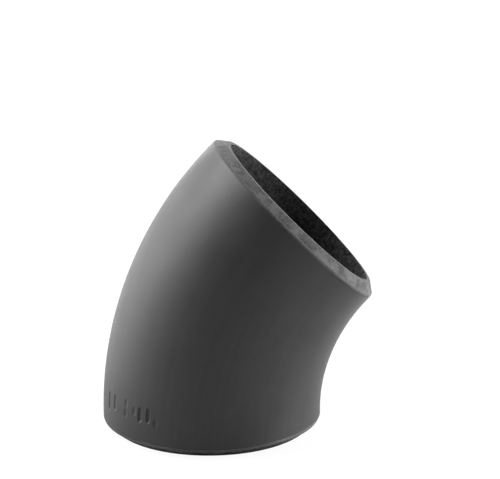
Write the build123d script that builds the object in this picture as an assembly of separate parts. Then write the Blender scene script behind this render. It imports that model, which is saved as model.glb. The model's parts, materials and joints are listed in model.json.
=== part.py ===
from build123d import *

import os
from math import asin, cos, radians, sin, tan

# Butt-weld conduit elbow: 45 degrees, long radius, weld bevels on both ends, dark coat inside and out.
# The lower end stands on the XY plane with its centre at the origin and its axis along +Z.
# The bend turns towards +X in the XZ plane. Millimetres and degrees throughout.

# Driving dimensions: a 2 inch (DN 50) long-radius elbow with a standard-weight wall.
OUTSIDE_DIAMETER = 60.3
WALL = 3.91
BEND_RADIUS = 76.2
BEND_ANGLE = 45.0
CENTRE_TO_END = 35.0
ROOT_LAND = 1.2  # width of the flat ring left at each mouth
BEVEL_ANGLE = 37.5  # between the bevel and the plane of the mouth
ROOT_EDGE_RADIUS = 0.25  # rounding where the land meets the bevel
HEEL_EDGE_RADIUS = 0.6  # rounding where the bevel meets the outside
BARE_BAND = 0.5  # bare steel left between the bevel's outer corner and the outer coat
COAT = 0.15  # film thickness, inside and out

# Stamped marks: plain bars in a row round the foot of the outer bend, in the steel under the coat.
MARK_WIDTH = 1.3
# Each bar is (degrees round the lower axis from the outer bend towards -Y, height of its middle,
# length, depth from the coated surface to the mark's coated floor).
MARKS = [
    (16.5, 10.2, 4.8, 0.20),
    (23.5, 10.7, 3.6, 0.20),
    (34.0, 12.1, 1.6, 0.15),
    (34.0, 9.5, 1.7, 0.15),
    (40.5, 10.8, 1.5, 0.15),
    (44.5, 10.3, 3.4, 0.35),
    (50.0, 10.6, 3.2, 0.35),
    (54.5, 8.8, 1.6, 0.15),
]
DEEPEST_MARK = max(mark[3] for mark in MARKS)

# What follows from the driving dimensions.
OUTER = OUTSIDE_DIAMETER / 2
BORE = OUTER - WALL
TANGENT = CENTRE_TO_END - BEND_RADIUS * tan(radians(BEND_ANGLE / 2))
BEVEL_DEPTH = (WALL - ROOT_LAND) * tan(radians(BEVEL_ANGLE))
COAT_START = BEVEL_DEPTH + BARE_BAND  # from the mouth to the edge of the outer coat

BEND_AXIS = Axis((BEND_RADIUS, 0, TANGENT), (0, 1, 0))
UPPER_DIRECTION = Vector(sin(radians(BEND_ANGLE)), 0, cos(radians(BEND_ANGLE)))
UPPER_CENTRE = Vector(0, 0, CENTRE_TO_END) + UPPER_DIRECTION * CENTRE_TO_END
# Each end's own plane: origin at the mouth's centre, local Z pointing into the elbow.
LOWER_END = Plane(origin=(0, 0, 0), x_dir=(1, 0, 0), z_dir=(0, 0, 1))
UPPER_END = Plane(origin=UPPER_CENTRE, x_dir=(0, 1, 0), z_dir=-UPPER_DIRECTION)


def end_ring(profile):
    """The straight ring at a mouth, turned from its profile in XZ."""
    return revolve(profile, Axis.Z, 360)


def bend_ring(inner, outer):
    """The curved middle: a ring section swung round the bend's axis."""
    section = Pos(0, 0, TANGENT) * (Circle(outer) - Circle(inner))
    return revolve(section, BEND_AXIS, BEND_ANGLE)


def elbow_shape(profile, inner, outer):
    """One solid from the curved middle and the same end ring on both mouths."""
    ring = end_ring(profile)
    return LOWER_END * ring + bend_ring(inner, outer) + UPPER_END * ring


def steel_wall():
    """The formed steel before stamping: bore, root lands, weld bevels and outside, in one piece."""
    root_edge = (BORE + ROOT_LAND, 0, 0)
    heel_edge = (OUTER, 0, BEVEL_DEPTH)
    profile = make_face(
        Polyline((BORE, 0, 0), root_edge, heel_edge, (OUTER, 0, TANGENT), (BORE, 0, TANGENT), close=True)
    )
    for edge, radius in ((root_edge, ROOT_EDGE_RADIUS), (heel_edge, HEEL_EDGE_RADIUS)):
        corner = profile.vertices().sort_by_distance(edge)[0]
        profile = fillet(corner, radius)
    return elbow_shape(profile, BORE, OUTER)


def coat_film(inner, outer, start):
    """A film between two radii that follows the bend and stops short of each mouth by start."""
    profile = make_face(
        Polyline((inner, 0, start), (outer, 0, start), (outer, 0, TANGENT), (inner, 0, TANGENT), close=True)
    )
    return elbow_shape(profile, inner, outer)


def mark_bar(turn, height, length, depth, grow):
    """One bar as a solid that straddles the coated surface, grown all round.

    It leans with the outside of the bend.
    """
    surface = OUTER + COAT
    lean = asin((height - TANGENT) / (BEND_RADIUS + surface * cos(radians(turn))))
    section = Plane(
        origin=(BEND_RADIUS * (1 - cos(lean)), 0, TANGENT + BEND_RADIUS * sin(lean)),
        x_dir=(-cos(lean), 0, sin(lean)),
        z_dir=(sin(lean), 0, cos(lean)),
    )
    outline = SlotOverall(length + 2 * grow, MARK_WIDTH + 2 * grow)
    placed = Rot(0, 0, turn) * Pos(surface, 0, 0) * Rot(0, 90, 0) * outline
    return extrude(section * placed, depth + grow, both=True)


def marks(grow):
    """All the bars in the row."""
    return [mark_bar(*mark, grow) for mark in MARKS]


def outer_coat(steel):
    """The outside's film, which fills the stamped steel and keeps the same thickness inside each mark."""
    deep = coat_film(OUTER - 2 * DEEPEST_MARK, OUTER + COAT, COAT_START)
    return deep - steel - marks(0)


def main():
    steel = steel_wall() - marks(COAT)
    nodes = {
        "steel_wall": steel,
        "outer_coat": outer_coat(steel),
        "bore_coat": coat_film(BORE - COAT, BORE, 0),
    }
    os.makedirs("parts", exist_ok=True)
    for name, shape in nodes.items():
        export_step(shape, f"parts/{name}.step")
    print(f"tangent {TANGENT:.3f}, bevel {BEVEL_DEPTH:.3f} deep, coat from {COAT_START:.3f}")
    print(f"upper mouth at {UPPER_CENTRE.X:.4f}, {UPPER_CENTRE.Z:.4f}")


if __name__ == "__main__":
    main()
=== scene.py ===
import json
from math import acos, asin, cos, pi, radians, sin, sqrt, tan

import bpy
import numpy as np
from mathutils import Matrix, Vector


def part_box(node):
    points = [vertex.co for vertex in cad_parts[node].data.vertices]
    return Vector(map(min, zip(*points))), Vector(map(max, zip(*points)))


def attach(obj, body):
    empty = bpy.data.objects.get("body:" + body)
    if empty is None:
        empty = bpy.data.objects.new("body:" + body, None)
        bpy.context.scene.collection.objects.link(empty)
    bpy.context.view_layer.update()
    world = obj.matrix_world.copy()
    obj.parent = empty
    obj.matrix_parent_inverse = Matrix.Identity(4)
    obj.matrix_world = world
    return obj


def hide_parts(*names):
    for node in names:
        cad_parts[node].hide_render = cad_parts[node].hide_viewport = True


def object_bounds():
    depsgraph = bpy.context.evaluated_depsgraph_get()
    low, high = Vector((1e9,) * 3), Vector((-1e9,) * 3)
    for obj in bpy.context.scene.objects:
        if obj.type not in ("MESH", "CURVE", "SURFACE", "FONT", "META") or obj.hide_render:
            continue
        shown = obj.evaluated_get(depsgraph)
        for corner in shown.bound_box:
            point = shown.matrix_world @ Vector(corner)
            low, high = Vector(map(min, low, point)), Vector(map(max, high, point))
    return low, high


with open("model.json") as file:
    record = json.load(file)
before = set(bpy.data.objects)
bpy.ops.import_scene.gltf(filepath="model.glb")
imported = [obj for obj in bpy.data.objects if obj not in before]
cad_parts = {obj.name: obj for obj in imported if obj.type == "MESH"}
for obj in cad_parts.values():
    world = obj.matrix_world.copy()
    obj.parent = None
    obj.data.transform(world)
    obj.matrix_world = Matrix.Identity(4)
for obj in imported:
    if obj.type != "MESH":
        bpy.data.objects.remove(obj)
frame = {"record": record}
CAD_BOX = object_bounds()
MM = 0.001

# A 45 degree butt-weld elbow: bare machined steel at both mouths, a satin coat outside and a rough one
# in the bore. Each of the three is a closed shell swept round the bend, and stands in for its CAD node.

# ---------------------------------------------------------------- sizes, from the frame

MOUNTS = {mount["name"]: mount for mount in frame["record"]["mounts"]}
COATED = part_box("outer_coat")[1].y  # radius outside the coat
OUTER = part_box("steel_wall")[1].y  # radius of the bare steel
STEEL_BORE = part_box("bore_coat")[1].y  # radius of the steel's bore, under its coat
BORE = MOUNTS["lower_bore"]["dims"]["r_mm"] * MM  # radius inside the bore's coat
COAT_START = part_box("outer_coat")[0].z  # from the mouth to the coat's edge
UPPER_CENTRE = Vector(MOUNTS["upper_bore"]["pos_m"])
UPPER_AXIS = Vector(MOUNTS["upper_bore"]["axis"])
BEND = acos(UPPER_AXIS.z)
TANGENT = MOUNTS["lower_bore"]["dims"]["length_mm"] * MM
BEND_RADIUS = (UPPER_CENTRE.x / sin(BEND) - TANGENT) / tan(BEND / 2)
LENGTH = 2 * TANGENT + BEND_RADIUS * BEND  # along the centre line, mouth to mouth
HAIR = 0.001 * MM  # less than this from a face counts as on it

# The weld preparation, as in the CAD model.
ROOT_LAND = 1.2 * MM
BEVEL_ANGLE = radians(37.5)
ROOT_EDGE_RADIUS = 0.25 * MM
HEEL_EDGE_RADIUS = 0.6 * MM
LAND_EDGE = STEEL_BORE + ROOT_LAND  # radius at which the land meets the bevel
BEVEL_DEPTH = (OUTER - LAND_EDGE) * tan(BEVEL_ANGLE)

# The stamped bars, as in the CAD model: degrees round from the outer bend towards -Y, then
# the height of the bar's middle, its length and its depth, in millimetres.
MARK_WIDTH = 1.3 * MM
MARKS = [
    (16.5, 10.2, 4.8, 0.20),
    (23.5, 10.7, 3.6, 0.20),
    (34.0, 12.1, 1.6, 0.15),
    (34.0, 9.5, 1.7, 0.15),
    (40.5, 10.8, 1.5, 0.15),
    (44.5, 10.3, 3.4, 0.35),
    (50.0, 10.6, 3.2, 0.35),
    (54.5, 8.8, 1.6, 0.15),
]


# ---------------------------------------------------------------- shapes along the bent pipe


def pipe_point(along, radius, turn):
    """Points at a length along the centre line, a radius from it, and a turn from the outer bend."""
    angle = np.clip((along - TANGENT) / BEND_RADIUS, 0, BEND)
    before = np.minimum(along, TANGENT)
    beyond = np.maximum(along - (LENGTH - TANGENT), 0)
    centre_x = BEND_RADIUS * (1 - np.cos(angle)) + beyond * np.sin(angle)
    centre_z = before + BEND_RADIUS * np.sin(angle) + beyond * np.cos(angle)
    out = radius * np.cos(turn)
    return np.stack([
        centre_x - out * np.cos(angle),
        -radius * np.sin(turn),
        centre_z + out * np.sin(angle),
    ], axis=-1)


def straightened(along, radius, turn):
    """The same points as if the pipe were straight, which is what the materials' patterns follow."""
    return np.stack([radius * np.cos(turn), radius * np.sin(turn), along], axis=-1)


def ripple(points, wavelength, seed, waves=14):
    """Smooth seamless unevenness between about -1 and 1 at the given points."""
    rng = np.random.default_rng(seed)
    total = np.zeros(points.shape[:-1])
    for _ in range(waves):
        direction = rng.normal(size=3)
        direction *= 2 * pi / (wavelength * rng.uniform(0.7, 1.6) * np.linalg.norm(direction))
        total += np.sin(points @ direction + rng.uniform(0, 2 * pi))
    return total / sqrt(2 * waves)


def spaced(start, end, step):
    """Values from start up to end, end left out, no more than step apart."""
    count = max(1, int(np.ceil(abs(end - start) / step)))
    return np.linspace(start, end, count, endpoint=False)


def dense_near(start, end, coarse, fine, centres, reach):
    """Values from start up to end: coarse, but fine within reach of each centre."""
    stops = {start, end}
    for centre in centres:
        stops |= {max(start, centre - reach), min(end, centre + reach)}
    stops = sorted(stops)
    runs = []
    for a, b in zip(stops, stops[1:]):
        near = any(abs((a + b) / 2 - centre) < reach for centre in centres)
        runs.append(spaced(a, b, fine if near else coarse))
    return np.concatenate(runs)


def rounded_profile(corners, radii, steps=6):
    """A line through corners, with each inner corner rounded to its radius."""
    points = [np.array(corners[0])]
    for before, corner, after, radius in zip(corners, corners[1:], corners[2:], radii):
        back = np.subtract(before, corner)
        ahead = np.subtract(after, corner)
        back /= np.linalg.norm(back)
        ahead /= np.linalg.norm(ahead)
        half = acos(np.clip(back @ ahead, -1, 1)) / 2
        centre = corner + (back + ahead) / np.linalg.norm(back + ahead) * radius / sin(half)
        first = corner + back * radius / tan(half) - centre
        last = corner + ahead * radius / tan(half) - centre
        sweep = pi - 2 * half
        for k in range(steps + 1):
            share = k / steps
            arc = (first * sin((1 - share) * sweep) + last * sin(share * sweep)) / sin(sweep)
            points.append(centre + arc)
    points.append(np.array(corners[-1]))
    return np.array(points)


def subdivided(profile, step):
    """The same line with its long stretches divided, and its last point left out."""
    rows = []
    for a, b in zip(profile, profile[1:]):
        share = spaced(0, 1, step / max(np.linalg.norm(b - a), 1e-9))[:, None]
        rows.append(a + (b - a) * share)
    return np.concatenate(rows)


def swept_mesh(name, profile, turns, relief, rise=None):
    """A closed shell: the closed profile of (along, radius) swept round the pipe.

    With along drawn to the right and radius upwards, the piece's material is on the profile's right.
    relief(along, radius, turn) moves a point out of the piece, along its normal, and
    rise(along, radius, turn) moves it away from the centre line.
    """
    towards = np.roll(profile, -1, axis=0) - np.roll(profile, 1, axis=0)
    normal = np.stack([-towards[:, 1], towards[:, 0]], axis=1)
    normal /= np.maximum(np.linalg.norm(normal, axis=1, keepdims=True), 1e-12)
    flat_along, turn = np.meshgrid(profile[:, 0], turns, indexing="ij")
    flat_radius = np.repeat(profile[:, 1:2], len(turns), axis=1)
    push = relief(flat_along, flat_radius, turn)
    along = flat_along + normal[:, :1] * push
    radius = flat_radius + normal[:, 1:] * push
    if rise is not None:
        radius = radius + rise(flat_along, flat_radius, turn)
    rows, columns = along.shape
    row, column = np.meshgrid(np.arange(rows), np.arange(columns), indexing="ij")
    next_row, next_column = (row + 1) % rows, (column + 1) % columns
    quads = np.stack([
        row * columns + column,
        row * columns + next_column,
        next_row * columns + next_column,
        next_row * columns + column,
    ], axis=-1).reshape(-1, 4)
    mesh = bpy.data.meshes.new(name)
    mesh.from_pydata(pipe_point(along, radius, turn).reshape(-1, 3), [], quads.tolist())
    mesh.shade_smooth()
    mesh.set_sharp_from_angle(angle=radians(35))
    pattern = mesh.attributes.new("straightened", "FLOAT_VECTOR", "POINT")
    pattern.data.foreach_set("vector", straightened(along, radius, turn).astype(np.float32).ravel())
    piece = bpy.data.objects.new(name, mesh)
    bpy.context.scene.collection.objects.link(piece)
    return piece


# ---------------------------------------------------------------- the stamped marks

MARK_WALL = (0.28, 0.64)  # where a bar's wall begins and ends, in bar widths from its middle line
MARK_END_STRETCH = 0.65  # below 1, a bar's ends slope more gently than its sides
LIP_HEIGHT = 0.008 * MM
LIP_PLACE = (0.75, 0.15)  # the raised lip's middle and its half width, in bar widths


def mark_station(turn, height):
    """The length along the centre line at which the coated surface is at this height."""
    return TANGENT + BEND_RADIUS * asin((height - TANGENT) / (BEND_RADIUS + COATED * cos(turn)))


def mark_rise(along, radius, turn):
    """The stamped bars in the pipe's outside, with soft walls and a hair of raised metal round them."""
    rise = np.zeros_like(along)
    for degrees_round, height_mm, length_mm, depth_mm in MARKS:
        centre = radians(degrees_round)
        stretch = (BEND_RADIUS + COATED * cos(centre)) / BEND_RADIUS
        across = COATED * (turn - centre)
        lengthwise = np.abs(along - mark_station(centre, height_mm * MM)) * stretch
        beyond = np.maximum(lengthwise - (length_mm * MM - MARK_WIDTH) / 2, 0)
        distance = np.hypot(across, MARK_END_STRETCH * beyond) / MARK_WIDTH
        wall = np.clip((MARK_WALL[1] - distance) / (MARK_WALL[1] - MARK_WALL[0]), 0, 1)
        rise -= depth_mm * MM * wall * wall * (3 - 2 * wall)
        rise += LIP_HEIGHT * np.exp(-((distance - LIP_PLACE[0]) / LIP_PLACE[1]) ** 2)
    return np.where(radius > OUTER - HAIR, rise, 0)


# Where the meshes are finer: round each bar's middle line, and along the pipe where the bars are.
MARK_TURNS = sorted({radians(mark[0]) for mark in MARKS})
MARK_REACH = 1.5 * MM
MARK_ROWS = mark_station(radians(35), 10.3 * MM)
MARK_ROWS_REACH = 3.4 * MM


def mark_turns(radius, fine):
    """The angles round the pipe at which a piece of this radius has its columns."""
    return dense_near(0, 2 * pi, 0.9 * MM / radius, fine / radius, MARK_TURNS, MARK_REACH / radius)


# ---------------------------------------------------------------- the three pieces


def end_profile():
    """From the steel's bore over the land and the bevel to the outside, as (from the mouth, radius)."""
    corners = [
        (0, STEEL_BORE),
        (0, LAND_EDGE),
        (BEVEL_DEPTH, OUTER),
        (COAT_START + 0.4 * MM, OUTER),
    ]
    return subdivided(rounded_profile(corners, [ROOT_EDGE_RADIUS, HEEL_EDGE_RADIUS]), 0.1 * MM)


RING_PITCH = 0.42 * MM  # of the turned rings on the lands and bevels
RING_HEIGHT = 0.006 * MM
CHATTER_HEIGHT = 0.006 * MM


def steel_relief(along, radius, turn):
    """Fine turned rings with some chatter on the lands and bevels."""
    at = straightened(along, radius, turn)
    from_mouth = np.minimum(along, LENGTH - along)
    bare = (from_mouth < BEVEL_DEPTH) & (radius > STEEL_BORE + ROOT_LAND * 0.5)
    rings = np.sin(2 * pi * radius / RING_PITCH + 0.6 * ripple(at, 9 * MM, 3))
    return np.where(bare, RING_HEIGHT * rings + CHATTER_HEIGHT * ripple(at, 2.4 * MM, 4), 0)


def steel_piece():
    """The steel: finely turned on the lands and bevels, plain where the coats cover it."""
    lower = end_profile()
    upper = lower[::-1] * [-1, 1] + [LENGTH, 0]
    first, last = lower[-1, 0] + 0.1 * MM, upper[0, 0] - 0.1 * MM
    outside_rows = dense_near(first, last, 1.5 * MM, 0.25 * MM, [MARK_ROWS], MARK_ROWS_REACH)
    outside = np.stack([outside_rows, np.full(len(outside_rows), OUTER)], axis=1)
    bore_rows = spaced(LENGTH, 0, 2 * MM)[1:]
    bore = np.stack([bore_rows, np.full(len(bore_rows), STEEL_BORE)], axis=1)
    profile = np.concatenate([lower, outside, upper, bore])
    turns = mark_turns(OUTER, 0.16 * MM)
    return swept_mesh("machined_steel_elbow", profile, turns, steel_relief, mark_rise)


def film_profile(inner, outer, start, outer_rows, inner_step):
    """A film's closed profile, from one end's edge over the outer face and back along the inner one."""
    nick = 0.35 * (outer - inner)
    low, high = start, LENGTH - start
    edge = [(low, inner), (low, outer - nick), (low + nick * 0.3, outer - nick * 0.3), (low + nick, outer)]
    far_edge = [(high - nick, outer), (high - nick * 0.3, outer - nick * 0.3), (high, outer - nick)]
    face = [(row, outer) for row in outer_rows if low + nick < row < high - nick]
    back = [(row, inner) for row in spaced(high, low, inner_step)]
    return np.array(edge + face + far_edge + back)


FORMING_STRETCH = [1, 1, 0.35]  # the ripples left by forming are drawn out along the pipe
FORMING_HEIGHTS = (0.022 * MM, 0.006 * MM)
FORMING_ALLOWANCE = 0.025 * MM  # keeps the ripples' crests inside the CAD's outside


def outer_coat_relief(along, radius, turn):
    """The pipe's forming ripples, on the outer face only."""
    at = straightened(along, radius, turn)
    long_ripple, short_ripple = ripple(at * FORMING_STRETCH, 17 * MM, 11), ripple(at, 4 * MM, 12)
    forming = FORMING_HEIGHTS[0] * long_ripple + FORMING_HEIGHTS[1] * short_ripple
    return np.where(radius > COATED - HAIR, forming - FORMING_ALLOWANCE, 0)


def outer_coat_piece():
    """The outside's coat, with the stamped marks."""
    rows = dense_near(COAT_START, LENGTH - COAT_START, 0.7 * MM, 0.17 * MM, [MARK_ROWS], MARK_ROWS_REACH)
    profile = film_profile(OUTER, COATED, COAT_START, rows, 1.2 * MM)
    turns = mark_turns(COATED, 0.11 * MM)
    return swept_mesh("satin_outer_coat", profile, turns, outer_coat_relief, mark_rise)


BORE_RIPPLE_HEIGHT = 0.02 * MM


def bore_coat_relief(along, radius, turn):
    """Uneven build-up of the coat, on the bore's face only."""
    at = straightened(along, radius, turn)
    uneven = BORE_RIPPLE_HEIGHT * (ripple(at, 4 * MM, 21) + ripple(at, 11 * MM, 22))
    return np.where(radius < BORE + HAIR, uneven, 0)


def bore_coat_piece():
    """The bore's coat: rougher than the outside."""
    profile = film_profile(BORE, STEEL_BORE, 0, spaced(0, LENGTH, 2 * MM), 0.8 * MM)
    turns = spaced(0, 2 * pi, 0.9 * MM / BORE)
    return swept_mesh("rough_bore_coat", profile, turns, bore_coat_relief)


# ---------------------------------------------------------------- materials


class Nodes:
    """A material's node tree, with short calls for the nodes used here."""

    def __init__(self, name):
        self.material = bpy.data.materials.new(name)
        self.material.use_nodes = True
        self.tree = self.material.node_tree
        self.shader = self.tree.nodes["Principled BSDF"]

    def add(self, kind, inputs=None, **settings):
        """A new node with its settings, and values or links for its inputs."""
        node = self.tree.nodes.new(kind)
        for key, value in settings.items():
            setattr(node, key, value)
        for key, value in (inputs or {}).items():
            self.feed(node.inputs[key], value)
        return node

    def feed(self, socket, value):
        """Links a socket to the value if that is a socket too, and otherwise sets it."""
        if isinstance(value, bpy.types.NodeSocket):
            self.tree.links.new(value, socket)
        else:
            socket.default_value = value

    def shade(self, **values):
        """Feeds the shader's own inputs, named with _ for each space."""
        for name, value in values.items():
            self.feed(self.shader.inputs[name.replace("_", " ")], value)

    def pattern_place(self, stretch=(1, 1, 1)):
        """Where a point is on the straightened pipe, in metres, stretched for drawn-out patterns."""
        place = self.add("ShaderNodeAttribute", attribute_name="straightened").outputs["Vector"]
        return self.add("ShaderNodeVectorMath", {0: place, 1: stretch}, operation="MULTIPLY").outputs[0]

    def noise(self, size, detail=3.0, stretch=(1, 1, 1), roughness=0.55):
        """Noise from 0 to 1 whose grains are about size metres across."""
        place = self.pattern_place(stretch)
        inputs = {"Vector": place, "Scale": 1 / size, "Detail": detail, "Roughness": roughness}
        return self.add("ShaderNodeTexNoise", inputs).outputs["Fac"]

    def ramp(self, value, low, high, to_low=0.0, to_high=1.0):
        """value between low and high, carried over to the range from to_low to to_high."""
        names = ("Value", "From Min", "From Max", "To Min", "To Max")
        inputs = dict(zip(names, (value, low, high, to_low, to_high)))
        return self.add("ShaderNodeMapRange", inputs).outputs["Result"]

    def maths(self, operation, a, b):
        return self.add("ShaderNodeMath", {0: a, 1: b}, operation=operation).outputs[0]

    def mix(self, share, a, b):
        """Colour a where share is 0 and colour b where it is 1."""
        node = self.add("ShaderNodeMix", data_type="RGBA")
        wanted = {("Factor", "VALUE"): share, ("A", "RGBA"): a, ("B", "RGBA"): b}
        for socket in node.inputs:
            if (socket.name, socket.type) in wanted:
                self.feed(socket, wanted[socket.name, socket.type])
        return next(socket for socket in node.outputs if socket.type == "RGBA")

    def bump(self, height, distance, under=None):
        """A bump of the given height in metres, on top of another one."""
        inputs = {"Height": height, "Distance": distance, "Strength": 1.0}
        if under is not None:
            inputs["Normal"] = under
        return self.add("ShaderNodeBump", inputs).outputs["Normal"]

    def radius(self):
        """The distance from the centre line, in metres."""
        across = self.pattern_place((1, 1, 0))
        return self.add("ShaderNodeVectorMath", {0: across}, operation="LENGTH").outputs["Value"]

    def from_mouth(self):
        """The length from the nearer mouth, in metres."""
        along = self.add("ShaderNodeSeparateXYZ", {0: self.pattern_place()}).outputs["Z"]
        return self.maths("MINIMUM", along, self.maths("SUBTRACT", LENGTH, along))


def grey(value):
    return (value, value, value, 1.0)


COAT_DARK, COAT_PALE = grey(0.022), grey(0.034)
RUBBED_EDGE = grey(0.06)
# Painted shade: the dark grey laid on the floors of the stamped marks.
PAINTED_MARK_SHADE = grey(0.012)


def coat_material():
    """Satin charcoal paint: fine powdery grain, soft mottling, faint drawn streaks, rubbed edges, and
    painted shade on the floors of the stamped marks.
    """
    n = Nodes("satin_charcoal_coat")
    mottle = n.noise(9 * MM, detail=4)
    streaks = n.noise(1.6 * MM, detail=3, stretch=(1, 1, 0.04))
    grain = n.noise(0.28 * MM, detail=2)
    tone = n.maths("ADD", n.ramp(mottle, 0.3, 0.7, -0.5, 0.5), n.ramp(streaks, 0.3, 0.7, -0.35, 0.35))
    tone = n.maths("ADD", tone, n.ramp(grain, 0.3, 0.7, -0.4, 0.4))
    colour = n.mix(n.ramp(tone, -1, 1), COAT_DARK, COAT_PALE)
    edge = n.ramp(n.from_mouth(), COAT_START, COAT_START + 0.45 * MM, 1, 0)
    rubbed = n.maths("MULTIPLY", edge, n.ramp(n.noise(1.3 * MM, detail=4), 0.4, 0.7))
    colour = n.mix(rubbed, colour, RUBBED_EDGE)
    # Painted shade: the coat's colour darkens with depth into each stamped mark.
    painted_mark_shade = n.ramp(n.radius(), COATED - 0.36 * MM, COATED - 0.08 * MM, 0.3, 0)
    roughness = n.maths("ADD", n.ramp(mottle, 0.3, 0.7, 0.47, 0.55), n.ramp(grain, 0.3, 0.7, -0.04, 0.04))
    fine = n.bump(grain, 0.010 * MM)
    n.shade(
        Base_Color=n.mix(painted_mark_shade, colour, PAINTED_MARK_SHADE),
        Roughness=roughness,
        Normal=n.bump(n.noise(1.9 * MM, detail=1), 0.012 * MM, fine),
    )
    return n.material


BEVEL_DARK, BEVEL_PALE = grey(0.066), grey(0.150)
RING_GREY = grey(0.045)
BARE_STRIP = grey(0.135)
LAND_GREY = grey(0.068)
DARK_SPECK, BRIGHT_SPECK = grey(0.024), grey(0.140)


def steel_material():
    """Dull turned steel: rings and dry grey oxide on the bevels, darker lands, and a brighter bare strip."""
    n = Nodes("dull_turned_steel")
    radius = n.radius()
    ring_inputs = {"W": radius, "Scale": 1 / (0.12 * MM), "Detail": 3.0}
    rings = n.add("ShaderNodeTexNoise", ring_inputs, noise_dimensions="1D").outputs["Fac"]
    patches = n.noise(3.5 * MM, detail=5, roughness=0.62)
    specks = n.noise(0.6 * MM, detail=3, roughness=0.6)
    bevel = n.mix(n.ramp(patches, 0.36, 0.64), BEVEL_DARK, BEVEL_PALE)
    bevel = n.mix(n.ramp(rings, 0.3, 0.7, 0, 0.3), bevel, RING_GREY)
    strip = n.ramp(n.from_mouth(), BEVEL_DEPTH - 0.35 * MM, BEVEL_DEPTH)
    colour = n.mix(strip, bevel, BARE_STRIP)
    land = n.ramp(radius, LAND_EDGE - 0.2 * MM, LAND_EDGE + 0.1 * MM, 1, 0)
    colour = n.mix(land, colour, LAND_GREY)
    colour = n.mix(n.ramp(specks, 0.48, 0.66, 0, 0.5), colour, DARK_SPECK)
    colour = n.mix(n.ramp(specks, 0.34, 0.46, 0.45, 0), colour, BRIGHT_SPECK)
    n.shade(
        Base_Color=colour,
        Roughness=n.ramp(patches, 0.3, 0.7, 0.62, 0.75),
        Specular_IOR_Level=0.015,
        Normal=n.bump(specks, 0.012 * MM, n.bump(rings, 0.012 * MM)),
    )
    return n.material


BORE_DARK, BORE_PALE = grey(0.020), grey(0.090)
BORE_PIT = grey(0.014)


def bore_material():
    """Near-black rough coat, like mill scale under paint."""
    n = Nodes("rough_bore_black")
    lumps = n.noise(1.1 * MM, detail=5, roughness=0.72)
    grain = n.noise(0.35 * MM, detail=3, roughness=0.7)
    colour = n.mix(n.ramp(lumps, 0.38, 0.62), BORE_DARK, BORE_PALE)
    n.shade(
        Base_Color=n.mix(n.ramp(grain, 0.4, 0.6, 0, 0.45), colour, BORE_PIT),
        Roughness=n.ramp(lumps, 0.3, 0.7, 0.55, 0.75),
        Specular_IOR_Level=0.02,
        Normal=n.bump(grain, 0.04 * MM, n.bump(lumps, 0.20 * MM)),
    )
    return n.material


# ---------------------------------------------------------------- camera

AIM_RIGHT = 10.65 * MM  # from the lower mouth's centre to the picture's centre, across the view
AIM_UP = 50.6 * MM
CAMERA_AZIMUTH = radians(-5.7)
CAMERA_ELEVATION = radians(16.3)
CAMERA_ROLL = radians(-0.48)
CAMERA_DISTANCE = 680 * MM
CAMERA_LENS = 174.56
CAMERA_SENSOR = 36


def direction(azimuth, elevation):
    """From the object towards a place round it: azimuth 0 is the front, -Y, and 90 is the right, +X."""
    level = cos(elevation)
    return Vector((sin(azimuth) * level, -cos(azimuth) * level, sin(elevation)))


def add_camera():
    back = direction(CAMERA_AZIMUTH, CAMERA_ELEVATION)
    right = Vector((cos(CAMERA_AZIMUTH), sin(CAMERA_AZIMUTH), 0))
    up = back.cross(right)
    rolled_right = right * cos(CAMERA_ROLL) + up * sin(CAMERA_ROLL)
    rolled_up = up * cos(CAMERA_ROLL) - right * sin(CAMERA_ROLL)
    place = rolled_right * AIM_RIGHT + rolled_up * AIM_UP + back * CAMERA_DISTANCE
    data = bpy.data.cameras.new("camera")
    data.lens = CAMERA_LENS
    data.sensor_width = CAMERA_SENSOR
    camera = bpy.data.objects.new("camera", data)
    axes = Matrix((rolled_right, rolled_up, back)).transposed()
    camera.matrix_world = Matrix.Translation(place) @ axes.to_4x4()
    bpy.context.scene.collection.objects.link(camera)
    bpy.context.scene.camera = camera


# ---------------------------------------------------------------- lights, floor and backdrop, in metres

# Each soft light: name, azimuth, elevation, radiance, width, height.
LIGHTS = [
    ("high_key", 235, 50, 5.4, 1.6, 1.1),
    ("left_key", 260, 30, 4.05, 1.2, 1.0),
    ("left_side", 250, 15, 0.55, 1.0, 0.8),
    ("low_left", 230, 8, 3.7, 1.6, 0.5),
    ("back", 165, 15, 9.0, 1.6, 0.8),
    ("right_side", 100, 15, 5.9, 1.4, 1.0),
    ("low_right", 90, 8, 9.0, 1.6, 0.5),
]
LIGHT_DISTANCE = 1.5
# Each bright card lying on the floor, out of the camera's sight: name, x, y, radius, glow.
FLOOR_CARDS = [
    ("left_card", -0.35, 0.15, 0.30, 0.86),
    ("right_card", 0.30, 0.15, 0.25, 3.2),
]
STAGE_RADIUS = 4
NEAR_FLOOR, FAR_FLOOR = 0.3, 1.2  # the floor's glow rises between these distances
FLOOR_COLOUR = 0.10
FLOOR_GLOW = 0.93
WHITE_GLOW = 1.02  # just past white
FLOOR_ALBEDO = 0.5  # of the surface whose bounce the object receives
AMBIENT = 0.05
# The stage's surfaces lie a little under the object's foot, one below the other.
FLOOR_LEVEL, CARD_LEVEL, BOUNCE_LEVEL = -0.02 * MM, -0.03 * MM, -0.04 * MM
RING_POINTS = 64
DOME_RINGS = 16


def add_softbox(name, azimuth, elevation, radiance, width, height):
    """A soft rectangular light aimed at the object's middle, its power following from radiance and size."""
    data = bpy.data.lights.new(name, "AREA")
    data.shape = "RECTANGLE"
    data.size = width
    data.size_y = height
    data.energy = radiance * pi * width * height
    lamp = bpy.data.objects.new(name, data)
    towards = direction(radians(azimuth), radians(elevation))
    middle = (CAD_BOX[0] + CAD_BOX[1]) / 2
    lamp.location = middle + towards * LIGHT_DISTANCE
    lamp.rotation_euler = towards.to_track_quat("Z", "Y").to_euler()
    lamp.visible_camera = False
    bpy.context.scene.collection.objects.link(lamp)


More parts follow.
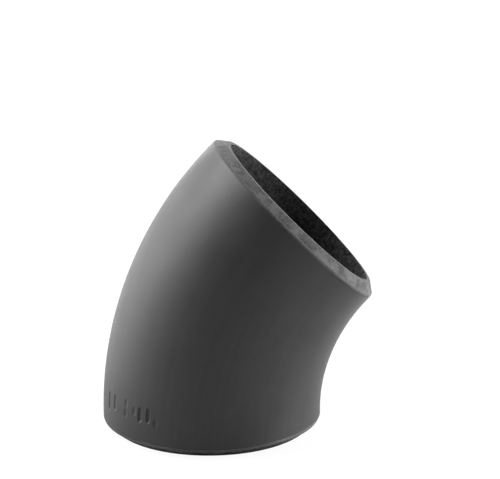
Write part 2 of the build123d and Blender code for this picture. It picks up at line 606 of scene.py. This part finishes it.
def stage_surface(name, colour, glow, corners, faces, far_glow=None):
    """A plain surface that isn't part of the object. It reflects the lights, and its glow adds to that.

    With far_glow, the glow changes to it away from the object.
    """
    mesh = bpy.data.meshes.new(name)
    mesh.from_pydata(corners, [], faces)
    mesh.shade_smooth()
    n = Nodes(name)
    if far_glow is not None:
        place = n.add("ShaderNodeTexCoord").outputs["Object"]
        distance = n.add("ShaderNodeVectorMath", {0: place}, operation="LENGTH").outputs["Value"]
        glow = n.ramp(distance, NEAR_FLOOR, FAR_FLOOR, glow, far_glow)
    n.shade(
        Base_Color=grey(colour),
        Roughness=1.0,
        Specular_IOR_Level=0.0,
        Emission_Color=grey(1.0),
        Emission_Strength=glow,
    )
    mesh.materials.append(n.material)
    surface = bpy.data.objects.new(name, mesh)
    bpy.context.scene.collection.objects.link(surface)
    return surface


def seen_only(surface):
    """The camera sees this surface, but the object isn't lit by it and it throws no shadow."""
    surface.visible_diffuse = False
    surface.visible_glossy = False
    surface.visible_shadow = False


def ring(radius, height, x=0.0, y=0.0):
    """Points round a level circle."""
    turns = [2 * pi * k / RING_POINTS for k in range(RING_POINTS)]
    return [(x + radius * cos(turn), y + radius * sin(turn), height) for turn in turns]


def dome():
    """The corners and faces of a half globe round the object."""
    heights = [k * pi / 2 / DOME_RINGS for k in range(DOME_RINGS)]
    corners = [corner for h in heights for corner in ring(STAGE_RADIUS * cos(h), STAGE_RADIUS * sin(h))]
    faces = []
    for low in range(0, RING_POINTS * (DOME_RINGS - 1), RING_POINTS):
        high = low + RING_POINTS
        for k in range(RING_POINTS):
            after = (k + 1) % RING_POINTS
            faces.append((low + k, low + after, high + after, high + k))
    faces.append(tuple(range(RING_POINTS * (DOME_RINGS - 1), RING_POINTS * DOME_RINGS)))
    return corners, faces


def add_stage():
    """A pale floor and backdrop, overexposed as in a product picture, and the light from below."""
    disc = [tuple(range(RING_POINTS))]
    floor_ring = ring(STAGE_RADIUS, FLOOR_LEVEL)
    seen_only(stage_surface("floor", FLOOR_COLOUR, FLOOR_GLOW, floor_ring, disc, far_glow=WHITE_GLOW))
    bounce = stage_surface("floor_bounce", FLOOR_ALBEDO, 0.0, ring(STAGE_RADIUS, BOUNCE_LEVEL), disc)
    bounce.visible_camera = False
    for name, x, y, radius, glow in FLOOR_CARDS:
        card = stage_surface(name, FLOOR_ALBEDO, glow, ring(radius, CARD_LEVEL, x, y), disc)
        card.visible_camera = False
    seen_only(stage_surface("backdrop", 0.0, WHITE_GLOW, *dome()))
    world = bpy.data.worlds.new("studio")
    world.use_nodes = True
    background = world.node_tree.nodes["Background"]
    background.inputs["Color"].default_value = grey(1.0)
    background.inputs["Strength"].default_value = AMBIENT
    bpy.context.scene.world = world


# ---------------------------------------------------------------- putting it together


def add_pieces():
    for make, material, slot, node in (
        (steel_piece, steel_material, "steel", "steel_wall"),
        (outer_coat_piece, coat_material, "coat", "outer_coat"),
        (bore_coat_piece, bore_material, "bore_coat", "bore_coat"),
    ):
        piece = make()
        piece.data.materials.append(material())
        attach(piece, "root")
        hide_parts(node)


add_camera()
add_pieces()
for light in LIGHTS:
    add_softbox(*light)
add_stage()
bpy.context.scene.view_settings.view_transform = "Standard"
